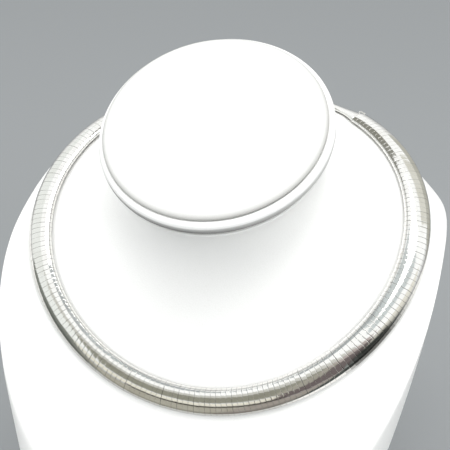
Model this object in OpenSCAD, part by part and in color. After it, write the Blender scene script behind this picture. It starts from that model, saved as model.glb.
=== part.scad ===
/* [Chain] */
// Width of the chain across its plates
chain_w = 10; // [8:0.5:11]
// Height of the plates' dome above their side edges
dome_h = 2.6; // [2.2:0.1:3.2]
// Depth that the plates reach below their side edges, where they fold under
fold_h = 0.6; // [0.5:0.1:0.9]
// Thickness of the sheet that the plates are bent from
sheet_t = 0.4; // [0.3:0.05:0.5]
// Length of each fold under the chain, from the side edge inwards
fold_l = 2.4; // [1.8:0.1:3]
// Distance from one plate to the next, along the middle of the chain
plate_pitch = 2.01; // [1.9:0.01:3]
// Gap between neighbouring plates
plate_gap = 0.14; // [0.12:0.01:0.2]
// How far the edges of the woven ribbon inside stay in from the chain's edges
ribbon_in = 1.6; // [1.6:0.1:2.2]
// Thickness of the woven ribbon
ribbon_t = 1.1; // [0.8:0.1:1.2]
// Clearance round the ribbon
ribbon_gap = 0.15; // [0.12:0.01:0.3]

/* [Loop] */
// Width of the closed loop, side to side, along the middle of the chain
loop_w = 144; // [138:1:148]
// Depth of the closed loop in its own plane, front to back
loop_d = 135.5; // [130:0.5:140]
// How far the loop's four quarters bulge out past an ellipse, as a share
loop_full = 0.145; // [0:0.005:0.2]
// Rise of the loop's sides over its front and back
loop_saddle = 13.5; // [8:0.5:16]
// Tilt of the loop's plane, with its front low
loop_tilt = 30.5; // [24:0.5:34]
// Lean of the plates out of the loop's plane at the front
lean_front = 29; // [20:1:36]
// Lean of the plates at the sides
lean_side = 17; // [10:1:24]
// Lean of the plates at the back
lean_back = 51; // [40:1:60]

/* [Clasp] */
// Length of the clasp along the chain
clasp_l = 25; // [18:1:32]
// Place of the clasp round the loop, in degrees from the front
clasp_at = 151; // [140:1:180]
// Size of the clasp's ends, as a share of the chain's section
clasp_end = 0.93; // [0.85:0.01:1]
// Size of the clasp's middle, as a share of the chain's section
clasp_waist = 0.5; // [0.45:0.01:1]
// Wire of the small catch on the clasp's outer side
catch_wire = 0.6; // [0.5:0.1:1]
// Length of the wire catch
catch_l = 3.2; // [2.8:0.2:6]
// How far the wire catch stands off the clasp
catch_out = 1.3; // [1.1:0.1:2]

/* [Pad] */
// Width of the round pad that tops the neck
pad_d = 80.6; // [76:0.2:84]
// Height of the pad's edge
pad_h = 2; // [1.7:0.1:3]
// Radius of the pad's rolled edge
pad_roll = 1.5; // [0.8:0.1:1.6]
// Thickness of the welt round the pad
welt_d = 3.8; // [3:0.1:4.4]
// Height of the welt
welt_h = 4.8; // [4.2:0.1:5.6]
// How far the welt stands out past the pad
welt_out = 1.6; // [0.8:0.1:1.9]
// Height of the recess between the welt and the neck's rim
recess_h = 1.3; // [1:0.1:3]
// Gap between the welt and the hub that carries the pad inside it
hub_gap = 1.3; // [0.6:0.1:1.6]
// Tilt of the pad, with its front low
pad_tilt = 26; // [20:1:30]
// Rise of the pad's middle above the loop's middle
pad_rise = 49; // [46:0.5:54]
// How far the pad's middle lies in front of the loop's middle
pad_ahead = 11.2; // [8:0.2:14]

/* [Bust] */
// Height of the loop's middle above the table
loop_h = 132; // [124:1:140]
// How far the loop's middle lies behind the middle of the base
loop_back = 33.5; // [28:0.5:38]
// Width across the shoulders
shoulder_w = 165; // [160:1:172]
// Reach of the chest in front of the loop's middle
chest_out = 86.5; // [84:0.5:92]
// Reach of the back behind the loop's middle
back_out = 64; // [62:0.5:68]
// Drop of the chest's fullest line below the loop's middle
chest_drop = 78.5; // [74:0.5:86]
// Rise of the shoulders' widest line above the loop's middle
shoulder_rise = 1; // [0:0.5:3]
// Extra fall of the shoulders' line between the sides and the front
shoulder_fall = 12; // [8:1:14]
// Drop of the back's fullest line below the loop's middle
back_drop = 23; // [16:1:28]
// Squareness of the shoulders seen from above, 2 is an ellipse
shoulder_square = 2.7; // [2.4:0.1:3]
// Width of the base
base_w = 115; // [108:1:122]
// Depth of the base
base_d = 144; // [136:1:150]
// Squareness of the base seen from above
base_square = 3; // [2.4:0.1:3.4]
// Roll of the covering under the base's edge
base_roll = 3; // [2:0.5:5]
// How far the neck's rim stays in from the pad's edge
rim_in = 0; // [0:0.1:3.5]
// Angle at which the neck draws in under its rim
neck_tuck = 20; // [14:1:26]
// Length over which the neck keeps that angle
neck_hold = 30; // [24:1:34]
// Length over which the slope runs out flat to the chain
slope_hold = 28; // [22:1:32]
// Gap between the chain and the covering that it lies on
seat_gap = 0.3; // [0.2:0.1:0.6]
// How far the flat seat reaches out past the chain's outer edge, at the front and the sides
seat_out = 0.3; // [0.2:0.1:1]
// Gap between the pad's own pieces
pad_gap = 0.15; // [0.1:0.05:0.3]

/* [Hidden] */

// Angles between the rows of the bust, and points along each stretch of a row
bust_step = 5;
neck_points = 12;
shoulder_points = 8;
side_points = 6;
// Angle between the cuts of the ribbon, and the number of cuts along the clasp
ribbon_step = 3;
clasp_cuts = 12;
// Steps of the length table, and points over the plates' outer and inner dome
loop_steps = 180;
dome_points = 10;
inner_points = 8;
// Small angle over which the chain's direction is taken
tiny = 0.01;
loop_mid = [0, loop_back, loop_h];
$fn = 96;

function unit(v) = v / norm(v);
function signed_power(v, p) = sign(v) * abs(v) ^ p;
function bezier(p, s) =
    p[0] * (1 - s) ^ 3 + 3 * p[1] * s * (1 - s) ^ 2 + 3 * p[2] * s ^ 2 * (1 - s) + p[3] * s ^ 3;

// The loop, in its own plane: a is the angle round it from the front, towards +X
function loop_flat(a) = [
    loop_w / 2 * sin(a) * (1 - loop_full * cos(a) ^ 2),
    -loop_d / 2 * cos(a) * (1 + loop_full * sin(a) ^ 2),
    loop_saddle * (sin(a) ^ 2 - 0.5)
];
function tilt(v, t) = [v.x, v.y * cos(t) - v.z * sin(t), v.y * sin(t) + v.z * cos(t)];
function loop_at(a) = loop_mid + tilt(loop_flat(a), loop_tilt);
function lean(a) =
    (lean_front + lean_back) / 4 + lean_side / 2 + (lean_front - lean_back) / 2 * cos(a)
    + ((lean_front + lean_back) / 4 - lean_side / 2) * cos(2 * a);

// Directions at angle a: across the chain outwards, out of its face, and along it
function along_flat(a) = unit(loop_flat(a + tiny) - loop_flat(a - tiny));
function out_flat(a) = unit(cross(along_flat(a), [0, 0, 1]));
function up_flat(a) = cross(out_flat(a), along_flat(a));
function across(a) = tilt(out_flat(a) * cos(lean(a)) - up_flat(a) * sin(lean(a)), loop_tilt);
function face(a) = tilt(out_flat(a) * sin(lean(a)) + up_flat(a) * cos(lean(a)), loop_tilt);
function along(a) = tilt(along_flat(a), loop_tilt);
function on_chain(a, x, y) = loop_at(a) + across(a) * x + face(a) * y;

// Length along the loop, as a table that is read both ways
function step_angle(i) = clasp_at + 360 * i / loop_steps;
function step_length(i) = norm(loop_at(step_angle(i + 1)) - loop_at(step_angle(i)));
run = [for (i = 0, s = 0; i <= loop_steps; s = s + step_length(i), i = i + 1) s];
angle_of = [for (i = [0:loop_steps]) [run[i], step_angle(i)]];
loop_l = run[loop_steps];
function angle_at(s) = lookup(s, angle_of);

// The plates share out what the clasp leaves of the loop
plates_l = loop_l - clasp_l - 2 * plate_gap;
plate_n = floor(plates_l / plate_pitch);
pitch = plates_l / plate_n;
function plate_s(k) = clasp_l / 2 + plate_gap + pitch * (k + 0.5);
function cut_at(k, x) = on_chain(angle_at(plate_s(k)), x, 0);
function cut_room(k, x) = norm(cut_at(k + 0.5, x) - cut_at(k - 0.5, x)) - plate_gap;

// Cross section of a plate: a dome whose two sides fold under, open along the middle
inner_h = dome_h - sheet_t;
inner_w = chain_w / 2 - sheet_t;
fold_slope = fold_h / 2;
function dome(w, h, n, i) = [w * cos(180 * i / n), h * sin(180 * i / n)];
plate_outline = concat(
    [for (i = [0:dome_points]) dome(chain_w / 2, dome_h, dome_points, i)],
    [
        [-chain_w / 2 + fold_slope, -fold_h],
        [-chain_w / 2 + fold_l, -fold_h],
        [-chain_w / 2 + fold_l, sheet_t - fold_h],
        [-inner_w + fold_slope, sheet_t - fold_h]
    ],
    [for (i = [inner_points:-1:0]) dome(inner_w, inner_h, inner_points, i)],
    [
        [inner_w - fold_slope, sheet_t - fold_h],
        [chain_w / 2 - fold_l, sheet_t - fold_h],
        [chain_w / 2 - fold_l, -fold_h],
        [chain_w / 2 - fold_slope, -fold_h]
    ]
);

// One plate at place k, wider at its outer side so that the seams stay parallel
module plate(k) {
    a = angle_at(plate_s(k));
    c = across(a);
    f = face(a);
    t = along(a);
    p = loop_at(a);
    inner_l = cut_room(k, -chain_w / 2);
    outer_l = cut_room(k, chain_w / 2);
    grow = (outer_l - inner_l) / 2;
    multmatrix([[c.x, f.x, -t.x, p.x], [c.y, f.y, -t.y, p.y], [c.z, f.z, -t.z, p.z]])
        intersection() {
            translate([0, 0, -pitch])
                linear_extrude(height = 2 * pitch)
                    polygon(plate_outline);
            rotate([-90, 0, 0])
                translate([0, 0, -chain_w])
                    linear_extrude(height = 2 * chain_w)
                        polygon([
                            [-chain_w, -inner_l / 2 + grow / 2],
                            [chain_w, -outer_l / 2 - grow / 2],
                            [chain_w, outer_l / 2 + grow / 2],
                            [-chain_w, inner_l / 2 - grow / 2]
                        ]);
        }
}

module chain_plates() {
    color("silver")
        for (k = [0:plate_n - 1])
            plate(k);
}

// A closed body swept through cuts, each a ring of the same number of points
module sweep(rings) {
    n = len(rings[0]);
    m = len(rings);
    points = [for (r = rings) each r];
    sides = [
        for (i = [0:m - 2], j = [0:n - 1])
            each let (u = i * n + j, v = i * n + (j + 1) % n)
                [[u, v, v + n], [u, v + n, u + n]]
    ];
    ends = [
        [for (j = [n - 1:-1:0]) j],
        [for (j = [0:n - 1]) (m - 1) * n + j]
    ];
    polyhedron(points, concat(sides, ends));
}

// The woven ribbon runs through every plate, from one end of the clasp to the other
ribbon_from = clasp_l / 2 + ribbon_gap;
ribbon_l = loop_l - 2 * ribbon_from;
ribbon_cuts = ceil(360 / ribbon_step);
ribbon_low = sheet_t - fold_h + ribbon_gap;
ribbon_side = chain_w / 2 - ribbon_in;
ribbon_corners = [
    [-ribbon_side, ribbon_low],
    [ribbon_side, ribbon_low],
    [ribbon_side, ribbon_low + ribbon_t],
    [-ribbon_side, ribbon_low + ribbon_t]
];
module chain_ribbon() {
    color("gray")
        sweep([
            for (i = [0:ribbon_cuts])
                let (a = angle_at(ribbon_from + ribbon_l * i / ribbon_cuts))
                    [for (c = ribbon_corners) on_chain(a, c.x, c.y)]
        ]);
}

// The clasp is one plain curved box with the plates' own dome, drawn in at its waist,
// and a small wire catch on its outer side
clasp_outline = concat(
    [[chain_w / 2 - fold_slope, -fold_h]],
    [for (i = [0:dome_points]) dome(chain_w / 2, dome_h, dome_points, i)],
    [[-chain_w / 2 + fold_slope, -fold_h]]
);
function clasp_angle(i) = angle_at((i < 0 ? loop_l : 0) + clasp_l * i / clasp_cuts);
function clasp_size(i) = clasp_waist + (clasp_end - clasp_waist) * abs(2 * i / clasp_cuts) ^ 2;
function clasp_cut(i) =
    let (a = clasp_angle(i), k = clasp_size(i))
        [for (c = clasp_outline) on_chain(a, c.x * k, c.y > 0 ? c.y * k : c.y)];

// The catch's wire, set round the dome's side by the angle catch_round
catch_round = 30;
catch_turn = 48;
catch_s = loop_l - clasp_l / 2 + catch_l / 2 + catch_wire;
module wire_catch() {
    a = angle_at(catch_s);
    k = clasp_size((catch_s - loop_l) * clasp_cuts / clasp_l);
    p = on_chain(a, k * chain_w / 2 * cos(catch_round), k * dome_h * sin(catch_round));
    c = across(a) * cos(catch_turn) + face(a) * sin(catch_turn);
    f = face(a) * cos(catch_turn) - across(a) * sin(catch_turn);
    t = along(a);
    bar_x = catch_out - catch_wire / 2;
    post_y = (catch_l - catch_wire) / 2;
    multmatrix([[c.x, -t.x, f.x, p.x], [c.y, -t.y, f.y, p.y], [c.z, -t.z, f.z, p.z]]) {
        translate([bar_x, post_y, 0])
            rotate([90, 0, 0])
                cylinder(h = 2 * post_y, d = catch_wire);
        for (side = [-1, 1])
            translate([-catch_wire, side * post_y, 0])
                rotate([0, 90, 0])
                    cylinder(h = bar_x + catch_wire, d = catch_wire);
        for (side = [-1, 1])
            translate([bar_x, side * post_y, 0])
                sphere(d = catch_wire);
    }
}
module clasp() {
    color("gainsboro") {
        sweep([for (i = [-clasp_cuts / 2:clasp_cuts / 2]) clasp_cut(i)]);
        wire_catch();
    }
}

// The pad and its welt, in the pad's own plane
pad_mid = loop_mid + [0, -pad_ahead, pad_rise];
pad_r = pad_d / 2;
welt_r = pad_r + welt_out - welt_d / 2;
welt_z = -pad_h - pad_gap - welt_h;
rim_z = welt_z - recess_h;
hub_r = welt_r - welt_d / 2 - hub_gap;
rim_r = pad_r - rim_in;
module on_pad() {
    translate(pad_mid)
        rotate([pad_tilt, 0, 0])
            children();
}
module neck_pad() {
    color("white")
        on_pad() {
            rotate_extrude() {
                translate([0, -pad_h])
                    square([pad_r, pad_h - pad_roll]);
                translate([0, -pad_roll])
                    square([pad_r - pad_roll, pad_roll]);
                intersection() {
                    translate([pad_r - pad_roll, -pad_roll])
                        circle(r = pad_roll);
                    translate([pad_r - pad_roll, -pad_roll])
                        square(pad_roll);
                }
            }
            translate([0, 0, rim_z + pad_gap])
                cylinder(h = -rim_z - pad_gap - pad_h / 2, r = hub_r);
        }
}
module pad_welt() {
    color("whitesmoke")
        on_pad()
            rotate_extrude() {
                translate([welt_r, welt_z + welt_d / 2])
                    circle(d = welt_d);
                translate([welt_r, welt_z + welt_h - welt_d / 2])
                    circle(d = welt_d);
                translate([welt_r - welt_d / 2, welt_z + welt_d / 2])
                    square([welt_d, welt_h - welt_d]);
            }
}

// The bust: each row runs from the neck's rim over the chain's seat and the shoulder to the base
function rim_out(a) = tilt([sin(a), -cos(a), 0], pad_tilt);
pad_up = tilt([0, 0, 1], pad_tilt);
function rim(a) = pad_mid + pad_up * rim_z + rim_out(a) * rim_r;
function tuck(a) = -pad_up * cos(neck_tuck) - rim_out(a) * sin(neck_tuck);
function seat(a) = loop_at(a) - face(a) * (fold_h + seat_gap);
// The flat seat runs on past the chain's middle, and fades out from the sides to the back
function seat_fade(a) = min(1, max(0, (acos(cos(a)) - 75) / 40));
function seat_run(a) = (chain_w / 2 + seat_out) * (0.53 + 0.47 * cos(180 * seat_fade(a)));
function rounded(a, w, front, back, q) = [
    w / 2 * signed_power(sin(a), 2 / q),
    -(cos(a) > 0 ? front : back) * signed_power(cos(a), 2 / q)
];
function widest_drop(a) =
    (chest_drop + back_drop) / 4 - shoulder_rise / 2 + (chest_drop - back_drop) / 2 * cos(a)
    + ((chest_drop + back_drop) / 4 + shoulder_rise / 2) * cos(2 * a)
    + shoulder_fall * sin(a) ^ 2 * max(0, cos(a));
function widest(a) =
    let (p = rounded(a, shoulder_w, chest_out, back_out, shoulder_square))
        loop_mid + [p.x, p.y, -widest_drop(a)];
function foot(a, inset, z) =
    let (p = rounded(a, base_w - 2 * inset, base_d / 2 - inset, base_d / 2 - inset, base_square))
        [p.x, p.y, z];
// Shares of a stretch's length over which its ends keep their directions, front and back
seat_share = [0.26, 0.19];
widest_share = [0.22, 0.12];
flank_share = 0.3;
foot_share = 0.35;
function front_to_back(v, a) = (v[0] + v[1]) / 2 + (v[0] - v[1]) / 2 * cos(a);
function row(a) =
    let (
        r = rim(a),
        s = seat(a),
        w = widest(a),
        b = foot(a, 0, base_roll),
        d = across(a),
        e = s + d * seat_run(a),
        fall = unit(b - w),
        turn = unit(fall - [0, 0, 1 - max(0, cos(a)) ^ 2]),
        from_seat = norm(w - e) * front_to_back(seat_share, a),
        to_widest = norm(w - e) * front_to_back(widest_share, a),
        down = norm(b - w),
        neck = [r, r + tuck(a) * neck_hold, s - d * slope_hold, s],
        shoulder = [e, e + d * from_seat, w - turn * to_widest, w],
        side = [w, w + turn * flank_share * down, b - fall * foot_share * down, b]
    )
    concat(
        [for (i = [0:neck_points]) bezier(neck, i / neck_points)],
        [for (i = [0:shoulder_points]) bezier(shoulder, i / shoulder_points)],
        [for (i = [1:side_points]) bezier(side, i / side_points)],
        [foot(a, base_roll / 3, base_roll / 3), foot(a, base_roll, 0), foot(a, base_roll, -base_roll)]
    );
module neck_bust() {
    rows = [for (a = [0:bust_step:360 - bust_step]) row(a)];
    n = len(rows);
    m = len(rows[0]);
    points = concat([for (r = rows) each r], [pad_mid + pad_up * rim_z, [0, 0, -base_roll]]);
    sides = [
        for (i = [0:n - 1], j = [0:m - 2])
            each let (u = i * m + j, v = ((i + 1) % n) * m + j)
                [[u, v + 1, u + 1], [u, v, v + 1]]
    ];
    ends = [
        for (i = [0:n - 1])
            each let (u = i * m, v = ((i + 1) % n) * m)
                [[n * m, v, u], [n * m + 1, u + m - 1, v + m - 1]]
    ];
    color("white")
        difference() {
            polyhedron(points, concat(sides, ends));
            translate([-base_w, -base_d, -2 * base_roll])
                cube([2 * base_w, 2 * base_d, 2 * base_roll]);
        }
}

neck_bust();
neck_pad();
pad_welt();
chain_plates();
chain_ribbon();
clasp();
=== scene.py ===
import math
import random
from bisect import bisect_right

import bmesh
import bpy
from mathutils import Matrix, Vector


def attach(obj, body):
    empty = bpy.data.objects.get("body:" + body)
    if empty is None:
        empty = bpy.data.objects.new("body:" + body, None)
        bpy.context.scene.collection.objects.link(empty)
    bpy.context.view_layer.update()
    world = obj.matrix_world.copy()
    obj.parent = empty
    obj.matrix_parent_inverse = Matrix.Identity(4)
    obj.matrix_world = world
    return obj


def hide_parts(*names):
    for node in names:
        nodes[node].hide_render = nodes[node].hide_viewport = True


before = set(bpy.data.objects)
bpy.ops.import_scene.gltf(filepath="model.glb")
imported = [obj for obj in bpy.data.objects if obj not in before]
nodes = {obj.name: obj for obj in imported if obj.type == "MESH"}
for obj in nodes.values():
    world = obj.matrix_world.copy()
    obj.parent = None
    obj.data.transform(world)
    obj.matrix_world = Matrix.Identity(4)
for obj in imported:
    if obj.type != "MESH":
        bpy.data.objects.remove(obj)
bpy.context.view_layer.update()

weldAt = 0.000001  # metres: points nearer than this become one


def clamp(value):
    return min(1.0, max(0.0, value))


# Where the loop of the chain lies, as in the CAD: lengths in metres, angles in degrees
loop = {
    "middle": (0.0, 0.0335, 0.132),
    "width": 0.144,
    "depth": 0.1355,
    "full": 0.145,
    "saddle": 0.0135,
    "tilt": 30.5,
    "leanFront": 29.0,
    "leanSide": 17.0,
    "leanBack": 51.0,
    "claspAt": 151.0,
    "claspLength": 0.025,
    "platePitch": 0.00201,
    "plateGap": 0.00014,
    "steps": 1440,
}


def loopPoint(a):
    # a point of the loop in its own plane, a in radians from the front
    return Vector((
        loop["width"] / 2 * math.sin(a) * (1 - loop["full"] * math.cos(a) ** 2),
        -loop["depth"] / 2 * math.cos(a) * (1 + loop["full"] * math.sin(a) ** 2),
        loop["saddle"] * (math.sin(a) ** 2 - 0.5),
    ))


def loopFrame(a):
    # a matrix whose X runs across the chain outwards, Y out of its face, Z back along it
    step = 1e-4
    along = (loopPoint(a + step) - loopPoint(a - step)).normalized()
    out = along.cross(Vector((0, 0, 1))).normalized()
    up = out.cross(along)
    front, side, back = (math.radians(loop[k]) for k in ("leanFront", "leanSide", "leanBack"))
    lean = ((front + back) / 4 + side / 2 + (front - back) / 2 * math.cos(a)
            + ((front + back) / 4 - side / 2) * math.cos(2 * a))
    across = out * math.cos(lean) - up * math.sin(lean)
    face = out * math.sin(lean) + up * math.cos(lean)
    m = Matrix((across, face, -along)).transposed().to_4x4()
    m.translation = loopPoint(a)
    place = Matrix.Translation(loop["middle"]) @ Matrix.Rotation(math.radians(loop["tilt"]), 4, "X")
    return place @ m


def angleAt(steps):
    # the loop's angle after a number of steps, counted from the clasp's middle
    return math.radians(loop["claspAt"]) + math.tau * steps / loop["steps"]


loopRun = [0.0]  # the length along the loop at each of its steps
for i in range(loop["steps"]):
    loopRun.append(loopRun[-1] + (loopPoint(angleAt(i + 1)) - loopPoint(angleAt(i))).length)
loopLength = loopRun[-1]


def frameAt(s):
    # the chain's frame at a length s along the loop, measured from the clasp's middle
    s = s % loopLength
    low = min(bisect_right(loopRun, s), loop["steps"]) - 1
    share = (s - loopRun[low]) / (loopRun[low + 1] - loopRun[low])
    return loopFrame(angleAt(low + share))


def makeObject(name, bm):
    mesh = bpy.data.meshes.new(name)
    bm.to_mesh(mesh)
    bm.free()
    thing = bpy.data.objects.new(name, mesh)
    bpy.context.scene.collection.objects.link(thing)
    return thing


def addPiece(name, bm, material):
    piece = makeObject(name, bm)
    for p in piece.data.polygons:
        p.use_smooth = True
    piece.data.materials.append(material)
    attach(piece, "root")
    return piece


def subdivide(piece, levels):
    mod = piece.modifiers.new("smooth", "SUBSURF")
    mod.levels = levels
    mod.render_levels = levels


# Materials
def newMaterial(name):
    material = bpy.data.materials.new(name)
    material.use_nodes = True
    tree = material.node_tree
    tree.nodes.clear()
    out = tree.nodes.new("ShaderNodeOutputMaterial")
    shader = tree.nodes.new("ShaderNodeBsdfPrincipled")
    tree.links.new(shader.outputs["BSDF"], out.inputs["Surface"])
    return material, tree, shader


def addNode(tree, kind, **values):
    node = tree.nodes.new(kind)
    for key, value in values.items():
        if hasattr(node, key):
            setattr(node, key, value)
        else:
            node.inputs[key.replace("_", " ")].default_value = value
    return node


def mixColours(tree, factor, a, b):
    mix = addNode(tree, "ShaderNodeMix", data_type="RGBA")
    tree.links.new(factor, mix.inputs["Factor"])
    mix.inputs["A"].default_value = (*a, 1)
    mix.inputs["B"].default_value = (*b, 1)
    return mix.outputs["Result"]


def tintBy(tree, factor, base, tint, blend):
    # the base colour changed towards a tint, as far as the factor says
    mix = addNode(tree, "ShaderNodeMix", data_type="RGBA", blend_type=blend)
    tree.links.new(factor, mix.inputs["Factor"])
    tree.links.new(base, mix.inputs["A"])
    mix.inputs["B"].default_value = (*tint, 1)
    return mix.outputs["Result"]


def ramp(tree, value, low, high, outLow=0.0, outHigh=1.0):
    node = tree.nodes.new("ShaderNodeMapRange")
    node.inputs["From Min"].default_value = low
    node.inputs["From Max"].default_value = high
    node.inputs["To Min"].default_value = outLow
    node.inputs["To Max"].default_value = outHigh
    tree.links.new(value, node.inputs["Value"])
    return node.outputs["Result"]


def addRelief(tree, height, shader, strength, distance):
    bump = addNode(tree, "ShaderNodeBump", Strength=strength, Distance=distance)
    tree.links.new(height, bump.inputs["Height"])
    tree.links.new(bump.outputs["Normal"], shader.inputs["Normal"])


def newGroup(name, numbers, outputs):
    # an effect that several materials share, from a place and some numbers
    group = bpy.data.node_groups.new(name, "ShaderNodeTree")
    group.interface.new_socket("Vector", in_out="INPUT", socket_type="NodeSocketVector")
    for number in numbers:
        group.interface.new_socket(number, in_out="INPUT", socket_type="NodeSocketFloat")
    for output in outputs:
        group.interface.new_socket(output, in_out="OUTPUT", socket_type="NodeSocketFloat")
    return group, group.nodes.new("NodeGroupInput"), group.nodes.new("NodeGroupOutput")


def placeGroup(tree, group, **numbers):
    # the group in a material, reading the piece's own coordinates
    place = tree.nodes.new("ShaderNodeTexCoord")
    node = addNode(tree, "ShaderNodeGroup", node_tree=group)
    tree.links.new(place.outputs["Object"], node.inputs["Vector"])
    for key, value in numbers.items():
        node.inputs[key.replace("_", " ")].default_value = value
    return node


# The grain that pad, welt and bust share: pebbles, and the pores between them
grain = {
    "warpScale": 260.0,
    "warp": 0.0007,
    "pebbleEdge": 0.22,
    "poreEdge": 0.09,
    "patchScale": 22.0,
    "poreShade": (0.72, 0.70, 0.66),
    "poreStrength": 0.10,
    "relief": 0.5,
    "patchRange": (0.3, 0.7),
    "roughness": (0.42, 0.52),
    "specular": 0.4,
}


def makeGrainGroup():
    group, start, end = newGroup("leatherGrain", ("Pebble Scale",), ("Height", "Pores", "Patches"))
    warp = addNode(group, "ShaderNodeTexNoise", Scale=grain["warpScale"], Detail=2.0)
    group.links.new(start.outputs["Vector"], warp.inputs["Vector"])
    push = addNode(group, "ShaderNodeVectorMath", operation="MULTIPLY_ADD")
    push.inputs[1].default_value = (grain["warp"],) * 3
    group.links.new(warp.outputs["Color"], push.inputs[0])
    group.links.new(start.outputs["Vector"], push.inputs[2])
    pebbles = addNode(group, "ShaderNodeTexVoronoi", feature="DISTANCE_TO_EDGE")
    group.links.new(push.outputs["Vector"], pebbles.inputs["Vector"])
    group.links.new(start.outputs["Pebble Scale"], pebbles.inputs["Scale"])
    height = ramp(group, pebbles.outputs["Distance"], 0.0, grain["pebbleEdge"])
    pores = ramp(group, pebbles.outputs["Distance"], 0.0, grain["poreEdge"], 1.0, 0.0)
    patches = addNode(group, "ShaderNodeTexNoise", Scale=grain["patchScale"], Detail=3.0)
    group.links.new(start.outputs["Vector"], patches.inputs["Vector"])
    group.links.new(height, end.inputs["Height"])
    group.links.new(pores, end.inputs["Pores"])
    group.links.new(patches.outputs["Fac"], end.inputs["Patches"])
    return group


grainGroup = makeGrainGroup()

# The third colour of each covering is painted shade, laid where the mesh marks the undersides of rolls and
# the recesses below them
covering = {
    "bust": {"light": (0.93, 0.93, 0.92), "shade": (0.89, 0.89, 0.875), "creaseShade": (0.60, 0.60, 0.57),
             "pebbles": 1250.0, "depth": 0.00003},
    "pad": {"light": (0.95, 0.95, 0.945), "shade": (0.91, 0.91, 0.90), "creaseShade": (0.42, 0.42, 0.40),
            "pebbles": 1300.0, "depth": 0.00003},
    "welt": {"light": (0.93, 0.93, 0.92), "shade": (0.89, 0.89, 0.88), "creaseShade": (0.07, 0.07, 0.065),
             "pebbles": 1500.0, "depth": 0.00002},
}


def makeCovering(name, look):
    material, tree, shader = newMaterial(name)
    skin = placeGroup(tree, grainGroup, Pebble_Scale=look["pebbles"])
    base = mixColours(tree, skin.outputs["Patches"], look["light"], look["shade"])
    pores = ramp(tree, skin.outputs["Pores"], 0.0, 1.0, 0.0, grain["poreStrength"])
    base = tintBy(tree, pores, base, grain["poreShade"], "MULTIPLY")
    # painted shade: darker where the mesh marks it
    creaseShade = addNode(tree, "ShaderNodeAttribute", attribute_name="paintedShade")
    base = tintBy(tree, creaseShade.outputs["Fac"], base, look["creaseShade"], "MULTIPLY")
    tree.links.new(base, shader.inputs["Base Color"])
    rough = ramp(tree, skin.outputs["Patches"], *grain["patchRange"], *grain["roughness"])
    tree.links.new(rough, shader.inputs["Roughness"])
    addRelief(tree, skin.outputs["Height"], shader, grain["relief"], look["depth"])
    shader.inputs["Specular IOR Level"].default_value = grain["specular"]
    return material


bustCovering = makeCovering("bustLeatherette", covering["bust"])
padCovering = makeCovering("padLeatherette", covering["pad"])
weltCovering = makeCovering("weltLeatherette", covering["welt"])
print("materials of the bust made")

# The silver of plates and clasp, clouded and finely brushed
silver = {
    "colour": (0.95, 0.94, 0.915),
    # the colour that the clouds of tarnish mix towards
    "tarnishAndShade": (0.62, 0.58, 0.50),
    "seam": (0.14, 0.13, 0.11),
    # rim: nearly black, the painted shade and painted dark reflection of the outer fold
    "rim": (0.035, 0.035, 0.03),
    "cloudScale": 180.0,
    "cloudRange": (0.45, 0.85),
    "cloudShare": 0.25,
    "brushScale": 2600.0,
    "brushRange": (0.3, 0.7),
    "brushRelief": 0.15,
    "brushDepth": 0.00001,
    "plateRoughness": 0.10,
    "claspRoughness": 0.16,
    "roughSpread": (0.8, 1.3),
}


def makeWearGroup():
    group, start, end = newGroup("silverWear", (), ("Clouds", "Brushing"))
    cloud = addNode(group, "ShaderNodeTexNoise", Scale=silver["cloudScale"], Detail=4.0)
    group.links.new(start.outputs["Vector"], cloud.inputs["Vector"])
    clouds = ramp(group, cloud.outputs["Fac"], *silver["cloudRange"], 0.0, silver["cloudShare"])
    group.links.new(clouds, end.inputs["Clouds"])
    brushing = addNode(group, "ShaderNodeTexNoise", Scale=silver["brushScale"], Detail=3.0)
    group.links.new(start.outputs["Vector"], brushing.inputs["Vector"])
    group.links.new(brushing.outputs["Fac"], end.inputs["Brushing"])
    return group


wearGroup = makeWearGroup()


def makeSilver(name, roughness):
    # darkened at the outer fold by painted shade and painted dark reflection, with some tarnish, and dark in
    # the seams, by the tones of the mesh
    material, tree, shader = newMaterial(name)
    wear = placeGroup(tree, wearGroup)
    base = mixColours(tree, wear.outputs["Clouds"], silver["colour"], silver["tarnishAndShade"])
    # painted shade and painted dark reflection on the outer fold, with some tarnish
    rim = addNode(tree, "ShaderNodeAttribute", attribute_name="rimShade")
    base = tintBy(tree, rim.outputs["Fac"], base, silver["rim"], "MULTIPLY")
    depth = addNode(tree, "ShaderNodeAttribute", attribute_name="seamDepth")
    base = tintBy(tree, depth.outputs["Fac"], base, silver["seam"], "MIX")
    tree.links.new(base, shader.inputs["Base Color"])
    shader.inputs["Metallic"].default_value = 1.0
    least, most = (roughness * share for share in silver["roughSpread"])
    rough = ramp(tree, wear.outputs["Brushing"], *silver["brushRange"], least, most)
    tree.links.new(rough, shader.inputs["Roughness"])
    addRelief(tree, wear.outputs["Brushing"], shader, silver["brushRelief"], silver["brushDepth"])
    return material


plateSilver = makeSilver("plateSilver", silver["plateRoughness"])
claspSilver = makeSilver("claspSilver", silver["claspRoughness"])

# The ribbon's woven finish
weave = {
    "scale": 900.0,
    "distortion": 1.5,
    "dark": (0.10, 0.09, 0.08),
    "light": (0.34, 0.31, 0.27),
    "metallic": 0.9,
    "roughness": 0.5,
    "relief": 0.6,
    "depth": 0.0001,
}


def makeWeave(look):
    material, tree, shader = newMaterial("ribbonWeave")
    place = tree.nodes.new("ShaderNodeTexCoord")
    waves = addNode(tree, "ShaderNodeTexWave", Scale=look["scale"], Distortion=look["distortion"], Detail=1.0)
    tree.links.new(place.outputs["Object"], waves.inputs["Vector"])
    base = mixColours(tree, waves.outputs["Fac"], look["dark"], look["light"])
    tree.links.new(base, shader.inputs["Base Color"])
    shader.inputs["Metallic"].default_value = look["metallic"]
    shader.inputs["Roughness"].default_value = look["roughness"]
    addRelief(tree, waves.outputs["Fac"], shader, look["relief"], look["depth"])
    return material


nodes["chain_ribbon"].data.materials.clear()
nodes["chain_ribbon"].data.materials.append(makeWeave(weave))
print("materials of the chain made")

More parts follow.
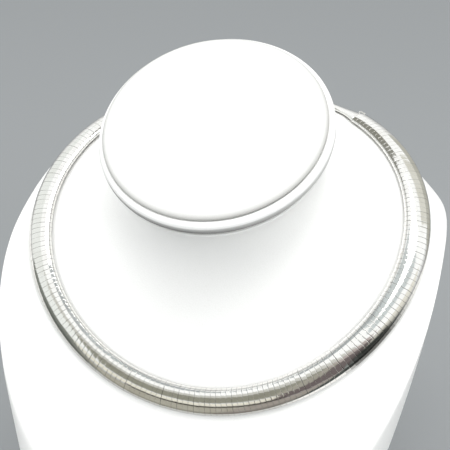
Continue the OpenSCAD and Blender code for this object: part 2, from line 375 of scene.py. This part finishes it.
# The pad that tops the neck, in its own plane: lengths in metres, angles in degrees
pad = {
    "middle": (0.0, 0.0223, 0.181),
    "tilt": 26.0,
    "radius": 0.0398,
    "shift": (-0.0003, 0.0002),
    "height": 0.002,
    "rollWide": 0.0036,
    "rollHigh": 0.0017,
    "rollSteps": 10,
    "tuck": 0.0010,
    "tuckSteps": 5,
    "crown": 0.0005,
    "crownAt": (0.15, 0.3, 0.45, 0.6, 0.75, 0.9),
    "hubRadius": 0.0368,
    "rimDepth": 0.0081,
    # how the painted shade on the roll's lower side spreads
    "shadeSpread": 0.55,
    "segments": 128,
}
padPlace = Matrix.Translation(pad["middle"]) @ Matrix.Rotation(math.radians(pad["tilt"]), 4, "X")


def turned(points, segments, closed=False):
    # a body of revolution from a chain of (radius, height) points
    bm = bmesh.new()
    verts = [bm.verts.new((r, 0, z)) for r, z in points]
    pairs = list(zip(verts, verts[1:]))
    if closed:
        pairs.append((verts[-1], verts[0]))
    edges = [bm.edges.new(p) for p in pairs]
    bmesh.ops.spin(bm, geom=verts + edges, cent=(0, 0, 0), axis=(0, 0, 1), angle=math.tau,
                   steps=segments, use_merge=True)
    bmesh.ops.remove_doubles(bm, verts=bm.verts, dist=weldAt)
    bmesh.ops.recalc_face_normals(bm, faces=bm.faces)
    return bm


def shapePad():
    # a crowned disc with a rolled edge that is tucked in below, on a hub
    r, h, crown = pad["radius"], pad["height"], pad["crown"]
    wide, high = pad["rollWide"], pad["rollHigh"]
    points = [(0, crown)]
    for share in pad["crownAt"]:
        points.append(((r - wide) * share, crown * (1 - share ** 2)))
    for i in range(pad["rollSteps"] + 1):
        a = math.radians(90 - 90 / pad["rollSteps"] * i)
        points.append((r - wide + wide * math.cos(a), -high + high * math.sin(a)))
    for i in range(1, pad["tuckSteps"] + 1):
        a = math.radians(-90 / pad["tuckSteps"] * i)
        points.append((r - pad["tuck"] * (1 - math.cos(a)), -high + (h - high) * math.sin(a)))
    points += [(pad["hubRadius"], -h), (pad["hubRadius"], -pad["rimDepth"]), (0, -pad["rimDepth"])]
    bm = turned(points, pad["segments"])
    # painted shade: the roll darkens as it turns down towards the tuck, and the hub below it is dark
    tone = bm.verts.layers.float.new("paintedShade")
    for v in bm.verts:
        if math.hypot(v.co.x, v.co.y) > r - wide:
            v[tone] = clamp(-v.co.z / h) ** pad["shadeSpread"]
    bmesh.ops.transform(bm, matrix=padPlace @ Matrix.Translation((*pad["shift"], 0)), verts=bm.verts)
    return bm


padTop = addPiece("padTop", shapePad(), padCovering)
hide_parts("neck_pad")

# The welt below the pad, in the same plane
welt = {
    "radius": 0.04,
    "wide": 0.0038,
    "high": 0.0048,
    "top": 0.00215,
    "low": 0.0004,
    "lowAt": -35.0,
    # painted shade on the band's lower part: where it starts, its mean and its swing round the band, and how
    # it spreads
    "unshadedTo": 0.25,
    "shadeMean": 0.78,
    "shadeSwing": 0.40,
    "shadeSpread": 0.45,
    "steps": 24,
    "segments": 256,
}


def shapeWelt():
    # a rolled band with flat sides, sewn a little lower on one side
    half = welt["wide"] / 2
    straight = welt["high"] - welt["wide"]
    points = []
    for i in range(welt["steps"]):
        a = math.tau * (i + 0.5) / welt["steps"]
        rise = 0 if math.sin(a) > 0 else -straight
        points.append((welt["radius"] + half * math.cos(a), -welt["top"] - half + rise + half * math.sin(a)))
    bm = turned(points, welt["segments"], closed=True)
    # painted shade: the band darkens towards its underside, most where it is sewn lower
    tone = bm.verts.layers.float.new("paintedShade")
    for v in bm.verts:
        share = (-welt["top"] - v.co.z) / welt["high"]
        turn = math.atan2(v.co.x, -v.co.y) - math.radians(welt["lowAt"])
        v.co.z -= welt["low"] * math.cos(turn) * max(0, share)
        darkening = welt["shadeMean"] + welt["shadeSwing"] * math.cos(turn)
        under = clamp((share - welt["unshadedTo"]) / (1 - welt["unshadedTo"]))
        v[tone] = clamp(darkening * under ** welt["shadeSpread"])
    bmesh.ops.transform(bm, matrix=padPlace, verts=bm.verts)
    return bm


weltRound = addPiece("weltRound", shapeWelt(), weltCovering)
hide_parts("pad_welt")
print("pad and welt shaped")

# The bust: the CAD's own form in quads, with a rolled lip round the neck's rim
bust = {
    "weldAt": 0.00002,
    "quadFaces": 50.0,
    "quadShape": 60.0,
    "rimDepth": 0.00825,
    "rimRadius": 0.0403,
    "rimReach": 0.001,
    "rimBand": 0.0002,
    "lipOut": 0.0010,
    "lipRound": 0.0011,
    "lipSegments": 3,
    "lipTilt": 0.0005,
    "lipLowAt": -50.0,
    "levels": 2,
}


def shapeBust():
    bm = bmesh.new()
    bm.from_mesh(nodes["neck_bust"].data)
    bmesh.ops.remove_doubles(bm, verts=bm.verts, dist=bust["weldAt"])
    bmesh.ops.join_triangles(bm, faces=bm.faces, angle_face_threshold=math.radians(bust["quadFaces"]),
                             angle_shape_threshold=math.radians(bust["quadShape"]))
    home = padPlace.inverted()
    least = bust["rimRadius"] - bust["rimReach"]
    rim = []
    for v in bm.verts:
        p = home @ v.co
        if abs(p.z + bust["rimDepth"]) < bust["rimBand"] and math.hypot(p.x, p.y) > least:
            turn = math.atan2(p.x, -p.y) - math.radians(bust["lipLowAt"])
            out = 1 + bust["lipOut"] / bust["rimRadius"]
            v.co = padPlace @ Vector((p.x * out, p.y * out, p.z - bust["lipTilt"] * math.cos(turn)))
            rim.append(v)
    ring = set(rim)
    edges = [e for e in bm.edges if e.verts[0] in ring and e.verts[1] in ring]
    bmesh.ops.bevel(bm, geom=rim + edges, offset=bust["lipRound"], offset_type="OFFSET",
                    segments=bust["lipSegments"], profile=0.5, affect="EDGES", material=-1)
    return bm


bustCover = addPiece("bustCover", shapeBust(), bustCovering)
subdivide(bustCover, bust["levels"])
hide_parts("neck_bust")
print("bust shaped")

# The chain: one skin over all its plates, drawn in at each seam. Its table of spots holds angles from the
# front, how strong the painted shade and painted dark reflection on the outer fold are there, with some
# tarnish, and how many degrees further over the dome they go
plate = {
    "halfWidth": 0.005,
    "dome": 0.0026,
    "under": 0.0006,
    "domeSteps": 24,
    "underSteps": 8,
    "seamWidth": 0.00007,
    "seamDepth": 0.00022,
    "seamTones": (0.5, 0.95),
    "edgeTone": 0.35,
    "edgeRound": 0.00003,
    "edgeFlat": 0.0003,
    "edgeDrop": 0.000004,
    "crown": 0.000006,
    "tip": 0.6,
    "turn": 0.4,
    "seed": 5,
    "rimShadeFull": 36.0,
    "rimShadeNone": 52.0,
    "rimShadeAt": [
        (-180, 0.1, 0), (-80, 0.2, 0), (-64, 0.38, 4), (-54, 0.45, 16), (-42, 0.48, 14), (-30, 0.58, 0),
        (32, 0.45, 0), (41, 0.1, 0), (51, 0.1, 4), (55, 0.8, 20), (58, 0.88, 24), (65, 0.88, 18),
        (72, 0.4, 4), (77, 0.2, 0), (110, 0.1, 0), (180, 0.1, 0),
    ],
}
around = plate["domeSteps"] + plate["underSteps"]


def sectionPoint(i):
    # a point of the plates' cross section, a dome above and folded under below, with its reach and
    # its angle from the outer edge
    wide, dome, under = plate["halfWidth"], plate["dome"], plate["under"]
    if i < plate["domeSteps"]:
        a = math.pi * i / plate["domeSteps"]
        return wide * math.cos(a), dome * math.sin(a), dome, math.degrees(a)
    a = math.pi * (1 + (i - plate["domeSteps"]) / plate["underSteps"])
    return wide * math.cos(a), under * math.sin(a), under, 0.0


def rimShadeAlong(place):
    # how dark the outer fold is painted at a place of the loop, as shade and dark reflection with some
    # tarnish, and how much wider that goes there
    middle = Vector(loop["middle"])
    angle = math.degrees(math.atan2(place.translation.x - middle.x, middle.y - place.translation.y))
    spots = plate["rimShadeAt"]
    for (a0, t0, w0), (a1, t1, w1) in zip(spots, spots[1:]):
        if a0 <= angle <= a1:
            share = (angle - a0) / (a1 - a0)
            return t0 + (t1 - t0) * share, w0 + (w1 - w0) * share
    return spots[-1][1:]


def rimShare(turn, wider):
    # how far a point at an angle from the outer edge lies within the darkened fold, painted shade with some
    # tarnish
    full, none = plate["rimShadeFull"], plate["rimShadeNone"]
    return clamp((none + wider - turn) / (none - full))


def chainStations():
    # for each ring of the skin: its plate, the plate's middle along the chain, how far the ring
    # lies from that, how far it is drawn in and how deep in a seam it is
    usable = loopLength - loop["claspLength"] - 2 * loop["plateGap"]
    count = int(usable / loop["platePitch"])
    pitch = usable / count
    start = loop["claspLength"] / 2 + loop["plateGap"]
    half = (pitch - plate["seamWidth"]) / 2
    profile = [
        (-half, plate["seamDepth"], 1.0),
        (-half, plate["edgeDrop"], plate["edgeTone"]),
        (-half + plate["edgeRound"], 0.0, 0.0),
        (-half + plate["edgeFlat"], 0.0, 0.0),
        (0.0, -plate["crown"], 0.0),
        (half - plate["edgeFlat"], 0.0, 0.0),
        (half - plate["edgeRound"], 0.0, 0.0),
        (half, plate["edgeDrop"], plate["edgeTone"]),
        (half, plate["seamDepth"], 1.0),
    ]
    return [(k, start + pitch * (k + 0.5), *ring) for k in range(count) for ring in profile]


def startSkin(rings):
    # a grid with a row of points for each ring, and the two tones that the silver reads
    bm = bmesh.new()
    seamTone = bm.verts.layers.float.new("seamDepth")
    rimShade = bm.verts.layers.float.new("rimShade")
    bmesh.ops.create_grid(bm, x_segments=around, y_segments=rings - 1, size=1)
    bm.verts.ensure_lookup_table()
    return bm, seamTone, rimShade


def closeSkin(bm):
    bmesh.ops.remove_doubles(bm, verts=bm.verts, dist=weldAt)
    bmesh.ops.holes_fill(bm, edges=[e for e in bm.edges if e.is_boundary], sides=0)
    bmesh.ops.recalc_face_normals(bm, faces=bm.faces)
    return bm


def knockPlate(rng):
    # a plate's own small tip and turn out of the chain's line
    tip = Matrix.Rotation(math.radians(rng.gauss(0, plate["tip"])), 4, "X")
    return tip @ Matrix.Rotation(math.radians(rng.gauss(0, plate["turn"])), 4, "Z")


def growChain():
    rng = random.Random(plate["seed"])
    stations = chainStations()
    plates = stations[-1][0] + 1
    seams = [rng.uniform(*plate["seamTones"]) for _ in range(plates + 1)]
    knocks = [knockPlate(rng) for _ in range(plates)]
    bm, seamTone, rimShade = startSkin(len(stations))
    for n, (k, middle, offset, drawn, deep) in enumerate(stations):
        home = frameAt(middle)
        place = home @ knocks[k] @ home.inverted() @ frameAt(middle + offset)
        tarnishAndShade, wider = rimShadeAlong(home)
        for i in range(around + 1):
            x, y, reach, turn = sectionPoint(i % around)
            v = bm.verts[n * (around + 1) + i]
            v.co = place @ Vector((x * (1 - drawn / plate["halfWidth"]), y * (1 - drawn / reach), 0))
            v[seamTone] = deep * seams[k + (offset > 0)]
            # painted shade and painted dark reflection on the outer fold, with some tarnish
            v[rimShade] = rimShare(turn, wider) * tarnishAndShade
    return closeSkin(bm)


chain = addPiece("chainPlates", growChain(), plateSilver)
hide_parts("chain_plates")
print("chain grown over", round(loopLength * 1000), "mm")

# The clasp: a smooth box drawn in at its waist, with a tongue seam and a small wire catch
clasp = {
    "length": loop["claspLength"],
    "endShare": 0.93,
    "waistShare": 0.5,
    "rings": 48,
    "endRound": 0.0005,
    "endFirst": 0.3,
    "seamAt": 0.0018,
    "seamWide": 0.00022,
    "seamDeep": 0.00016,
    "seamReach": 0.6,
    "tarnishAndShade": 0.1,
    "catchWire": 0.0006,
    "catchLength": 0.0032,
    "catchOut": 0.0013,
    "catchRound": 30.0,
    "catchTurn": 48.0,
    "catchBend": 0.8,
    "catchBendSteps": 4,
    "catchSides": 10,
}


def claspShare(s):
    # the clasp's size at a length s from its middle, as a share of the chain's
    return clasp["waistShare"] + (clasp["endShare"] - clasp["waistShare"]) * (2 * s / clasp["length"]) ** 2


def claspRings():
    half, end = clasp["length"] / 2, clasp["endRound"]
    seam, wide = clasp["seamAt"], clasp["seamWide"]
    rings = [-half, -half + end * clasp["endFirst"], -half + end]
    rings += [half * (2 * i / clasp["rings"] - 1) for i in range(2, clasp["rings"] - 1)]
    rings += [half - end, half - end * clasp["endFirst"], half]
    rings += [seam - wide, seam - wide / 2, seam, seam + wide / 2, seam + wide]
    return sorted(set(rings))


def shapeClasp():
    half = clasp["length"] / 2
    rings = claspRings()
    bm, seamTone, rimShade = startSkin(len(rings))
    for n, s in enumerate(rings):
        place = frameAt(s)
        share = claspShare(s)
        end = max(0.0, (abs(s) - half + clasp["endRound"]) / clasp["endRound"])
        drawn = clasp["endRound"] * (1 - math.sqrt(max(0.0, 1 - end ** 2)))
        deep = abs(s - clasp["seamAt"]) < clasp["seamWide"] * clasp["seamReach"]
        if deep:
            drawn += clasp["seamDeep"]
        for i in range(around + 1):
            x, y, reach, turn = sectionPoint(i % around)
            wide = x * share
            high = y * share if y > 0 else y
            v = bm.verts[n * (around + 1) + i]
            v.co = place @ Vector((wide * (1 - drawn / plate["halfWidth"]), high * (1 - drawn / reach), 0))
            v[seamTone] = 1.0 if deep else 0.0
            # painted shade on the outer fold, with some tarnish, weaker than on the plates
            v[rimShade] = rimShare(turn, 0) * clasp["tarnishAndShade"]
    return closeSkin(bm)


def bendWire(bm, points, radius, sides):
    # a round wire through the points, with closed ends
    made = bmesh.ops.create_circle(bm, cap_ends=False, segments=sides, radius=radius)["verts"]
    base = [v.co.copy() for v in made]
    ring = list(made)
    edges = list({e for v in ring for e in v.link_edges})
    first = list(edges)
    for n, point in enumerate(points):
        if n:
            new = bmesh.ops.extrude_edge_only(bm, edges=edges)["geom"]
            edges = [g for g in new if isinstance(g, bmesh.types.BMEdge)]
            fresh = {g for g in new if isinstance(g, bmesh.types.BMVert)}
            ring = [next(e.other_vert(v) for e in v.link_edges if e.other_vert(v) in fresh) for v in ring]
        way = points[min(n + 1, len(points) - 1)] - points[max(n - 1, 0)]
        place = Matrix.Translation(point) @ way.to_track_quat("Z", "Y").to_matrix().to_4x4()
        for v, b in zip(ring, base):
            v.co = place @ b
    bmesh.ops.holes_fill(bm, edges=[e for e in set(first) | set(edges) if e.is_boundary], sides=0)
    bmesh.ops.recalc_face_normals(bm, faces=bm.faces)


def shapeCatch():
    # a wire bow that stands off the clasp's outer side, near its end
    wire, length, out = clasp["catchWire"], clasp["catchLength"], clasp["catchOut"]
    s = -clasp["length"] / 2 + length / 2 + wire
    place = frameAt(s)
    share = claspShare(s)
    turn = math.radians(clasp["catchRound"])
    foot = Vector((share * plate["halfWidth"] * math.cos(turn), share * plate["dome"] * math.sin(turn), 0))
    lean = Matrix.Rotation(math.radians(clasp["catchTurn"]), 4, "Z")
    half = (length - wire) / 2
    reach = out - wire / 2
    bend = wire * clasp["catchBend"]
    path = [(-wire, 0, -half), (reach - bend, 0, -half)]
    for i in range(1, clasp["catchBendSteps"] + 1):
        a = math.radians(90 / clasp["catchBendSteps"] * i)
        path.append((reach - bend + bend * math.sin(a), 0, -half + bend - bend * math.cos(a)))
    path += [(x, y, -z) for x, y, z in reversed(path)]
    bm = bmesh.new()
    bendWire(bm, [place @ (foot + lean @ Vector(p)) for p in path], wire / 2, clasp["catchSides"])
    return bm


claspBox = addPiece("claspBox", shapeClasp(), claspSilver)
addPiece("claspCatch", shapeCatch(), claspSilver)
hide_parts("clasp")
print("clasp shaped")

# Floor and lamps
studio = {
    "floorColour": (0.30, 0.312, 0.32),
    "floorRoughness": 0.9,
    "floorHalf": 1.6,
    "lampsAim": (0, 0.02, 0.13),
}


def layFloor():
    bm = bmesh.new()
    bmesh.ops.create_grid(bm, x_segments=2, y_segments=2, size=studio["floorHalf"])
    floor = makeObject("floor", bm)
    material, _, shader = newMaterial("floorPaper")
    shader.inputs["Base Color"].default_value = (*studio["floorColour"], 1)
    shader.inputs["Roughness"].default_value = studio["floorRoughness"]
    shader.inputs["Specular IOR Level"].default_value = 0
    floor.data.materials.append(material)


layFloor()

lamps = {
    "overhead": {"at": (0.15, -0.10, 1.1), "size": 0.5, "power": 3.0, "colour": (1.0, 0.99, 0.97),
                 "mirrored": True},
    "right": {"at": (0.85, -0.6, 0.65), "size": 0.6, "power": 3.7, "colour": (1.0, 1.0, 1.0),
              "mirrored": False},
    "left": {"at": (-0.85, -0.45, 0.6), "size": 0.6, "power": 2.2, "colour": (1.0, 1.0, 1.0),
             "mirrored": False},
}


def hangLamp(name, look):
    light = bpy.data.lights.new(name, "AREA")
    light.shape = "SQUARE"
    light.size = look["size"]
    light.energy = look["power"]
    light.color = look["colour"]
    lamp = bpy.data.objects.new(name, light)
    bpy.context.scene.collection.objects.link(lamp)
    lamp.location = look["at"]
    lamp.visible_glossy = look["mirrored"]
    aim = Vector(studio["lampsAim"]) - lamp.location
    lamp.rotation_euler = aim.to_track_quat("-Z", "Y").to_euler()


for name, look in lamps.items():
    hangLamp(name, look)

# Cards round the part, which only its reflections see, each hung a little nearer than the last.
# Azimuth is counted from behind the part (+Y) towards the right (+X), all angles are in degrees
cards = {
    "rightDark": {"azimuth": 123, "elevation": 2, "width": 46, "height": 18, "colour": (0.34, 0.36, 0.35)},
    "rightWarm": {"azimuth": 118, "elevation": 22, "width": 50, "height": 24, "colour": (0.80, 0.79, 0.72)},
    "rightTop": {"azimuth": 134, "elevation": 12, "width": 24, "height": 13, "colour": (0.18, 0.20, 0.19)},
    "frontHigh": {"azimuth": 166, "elevation": 36, "width": 34, "height": 8, "colour": (0.45, 0.40, 0.38)},
    "frontDark": {"azimuth": 162, "elevation": 15, "width": 38, "height": 34, "colour": (0.15, 0.125, 0.125)},
    "frontPale": {"azimuth": -160, "elevation": 44, "width": 56, "height": 10, "colour": (0.60, 0.60, 0.56)},
    "frontOlive": {"azimuth": -165, "elevation": 28, "width": 26, "height": 23, "colour": (0.27, 0.27, 0.22)},
    "middleOlive": {"azimuth": 178, "elevation": 26, "width": 14, "height": 18, "colour": (0.36, 0.35, 0.30)},
    "frontCream": {"azimuth": -160, "elevation": 8, "width": 42, "height": 11, "colour": (0.80, 0.78, 0.68)},
    "frontBlack": {"azimuth": -172, "elevation": 0, "width": 32, "height": 6, "colour": (0.04, 0.035, 0.03)},
    "leftDark": {"azimuth": -118, "elevation": 3, "width": 44, "height": 18, "colour": (0.20, 0.215, 0.195)},
    "leftPale": {"azimuth": -98, "elevation": 30, "width": 84, "height": 44, "colour": (0.86, 0.89, 0.87)},
    "backPale": {"azimuth": 44, "elevation": 42, "width": 32, "height": 28, "colour": (0.70, 0.70, 0.64)},
    "backGrey": {"azimuth": 40, "elevation": 6, "width": 56, "height": 46, "colour": (0.48, 0.48, 0.43)},
}
cardsAt = {"distance": 2.5, "apart": 0.02, "middle": (0.0, 0.0, 0.12)}
# Mats on the floor, from near to far and from one azimuth to the other, seen in the same way
mats = {
    "rightMat": {"near": 0.12, "far": 2.6, "azimuths": (100, 145), "colour": (0.09, 0.10, 0.095)},
    "frontMat": {"near": 0.09, "far": 2.6, "azimuths": (145, 182), "colour": (0.34, 0.315, 0.285)},
    "middleMat": {"near": 0.09, "far": 2.6, "azimuths": (182, 230), "colour": (0.41, 0.40, 0.34)},
    "leftMat": {"near": 0.28, "far": 2.6, "azimuths": (222, 275), "colour": (0.20, 0.215, 0.20)},
    "backMat": {"near": 0.12, "far": 2.6, "azimuths": (-16, 4), "colour": (0.27, 0.29, 0.29)},
}
matHeight = 0.001
# Strips over the part, seen in the same way: both ends, the point that they face and their width
strips = {
    "backStrip": {"from": (0.0493, 0.1288, 0.262), "to": (-0.0637, 0.0488, 0.262),
                  "face": (0.056, 0.069, 0.156), "width": 0.046, "colour": (0.25, 0.25, 0.22)},
    "wideStrip": {"from": (0.012, -0.055, 0.262), "to": (0.045, 0.015, 0.282),
                  "face": (0.062, 0.012, 0.125), "width": 0.085, "colour": (0.57, 0.62, 0.63)},
    "rightStrip": {"from": (0.075, -0.088, 0.238), "to": (0.156, 0.003, 0.255),
                   "face": (0.064, 0.015, 0.127), "width": 0.04, "colour": (0.60, 0.65, 0.66)},
    "leftStrip": {"from": (-0.058, -0.0613, 0.262), "to": (0.002, -0.014, 0.262),
                  "face": (-0.047, -0.011, 0.108), "width": 0.055, "colour": (0.38, 0.41, 0.42)},
}


def setCard(name, bm, colour):
    # a flat glowing thing that only reflections see
    card = makeObject(name, bm)
    material, _, shader = newMaterial(name)
    shader.inputs["Base Color"].default_value = (0, 0, 0, 1)
    shader.inputs["Specular IOR Level"].default_value = 0
    shader.inputs["Emission Color"].default_value = (*colour, 1)
    shader.inputs["Emission Strength"].default_value = 1.0
    card.data.materials.append(material)
    card.visible_camera = False
    card.visible_diffuse = False
    card.visible_shadow = False


def direction(azimuth, elevation):
    az, el = math.radians(azimuth), math.radians(elevation)
    return Vector((math.sin(az) * math.cos(el), math.cos(az) * math.cos(el), math.sin(el)))


def hangCard(name, look, distance):
    way = direction(look["azimuth"], look["elevation"])
    width, height = (2 * distance * math.tan(math.radians(look[k] / 2)) for k in ("width", "height"))
    bm = bmesh.new()
    bmesh.ops.create_grid(bm, x_segments=1, y_segments=1, size=0.5)
    bmesh.ops.scale(bm, vec=(width, height, 1), verts=bm.verts)
    turn = way.to_track_quat("-Z", "Y").to_matrix().to_4x4()
    place = Matrix.Translation(Vector(cardsAt["middle"]) + way * distance) @ turn
    bmesh.ops.transform(bm, matrix=place, verts=bm.verts)
    setCard(name, bm, look["colour"])


def layMat(name, look):
    first, last = (direction(a, 0) for a in look["azimuths"])
    lift = Vector((0, 0, matHeight))
    corners = (first * look["near"], first * look["far"], last * look["far"], last * look["near"])
    bm = bmesh.new()
    bm.faces.new([bm.verts.new(c + lift) for c in corners])
    setCard(name, bm, look["colour"])


def setStrip(name, look):
    first, last = Vector(look["from"]), Vector(look["to"])
    way = (first + last) / 2 - Vector(look["face"])
    half = (last - first).cross(way).normalized() * look["width"] / 2
    bm = bmesh.new()
    bm.faces.new([bm.verts.new(c) for c in (first - half, first + half, last + half, last - half)])
    setCard(name, bm, look["colour"])


for n, (name, look) in enumerate(cards.items()):
    hangCard(name, look, cardsAt["distance"] - n * cardsAt["apart"])
for name, look in mats.items():
    layMat(name, look)
for name, look in strips.items():
    setStrip(name, look)

# A soft sky, brighter overhead than round about
sky = {
    "colour": (0.985, 1.0, 1.0),
    "horizon": 0.52,
    "top": 1.05,
    "from": 0.0,
    "to": 0.45,
}


def makeSky():
    world = bpy.data.worlds.new("studio")
    world.use_nodes = True
    bpy.context.scene.world = world
    tree = world.node_tree
    place = tree.nodes.new("ShaderNodeTexCoord")
    split = tree.nodes.new("ShaderNodeSeparateXYZ")
    tree.links.new(place.outputs["Generated"], split.inputs["Vector"])
    back = tree.nodes["Background"]
    back.inputs["Color"].default_value = (*sky["colour"], 1)
    strength = ramp(tree, split.outputs["Z"], sky["from"], sky["to"], sky["horizon"], sky["top"])
    tree.links.new(strength, back.inputs["Strength"])


makeSky()

# The camera: angles in degrees, lengths in metres, its sensor in millimetres
camera = {
    "azimuth": -17.042,
    "elevation": 32.113,
    "roll": -1.265,
    "distance": 0.35793,
    "aim": (-0.000294, 0.0335, 0.132084),
    "focalPixels": 932.84,
    "imagePixels": 450,
    "sensor": 36.0,
    "clipStart": 0.01,
}


def placeCamera():
    roll = math.radians(camera["roll"])
    forward = direction(camera["azimuth"], -camera["elevation"])
    right = direction(camera["azimuth"] + 90, 0)
    up = right.cross(forward)
    rolledRight = right * math.cos(roll) + up * math.sin(roll)
    rolledUp = up * math.cos(roll) - right * math.sin(roll)
    data = bpy.data.cameras.new("camera")
    data.sensor_width = camera["sensor"]
    data.lens = data.sensor_width * camera["focalPixels"] / camera["imagePixels"]
    data.clip_start = camera["clipStart"]
    eye = bpy.data.objects.new("camera", data)
    bpy.context.scene.collection.objects.link(eye)
    turn = Matrix((rolledRight, rolledUp, -forward)).transposed().to_4x4()
    eye.matrix_world = Matrix.Translation(Vector(camera["aim"]) - forward * camera["distance"]) @ turn
    bpy.context.scene.camera = eye


placeCamera()
bpy.context.scene.view_settings.view_transform = "Standard"
print("floor, light and camera set")
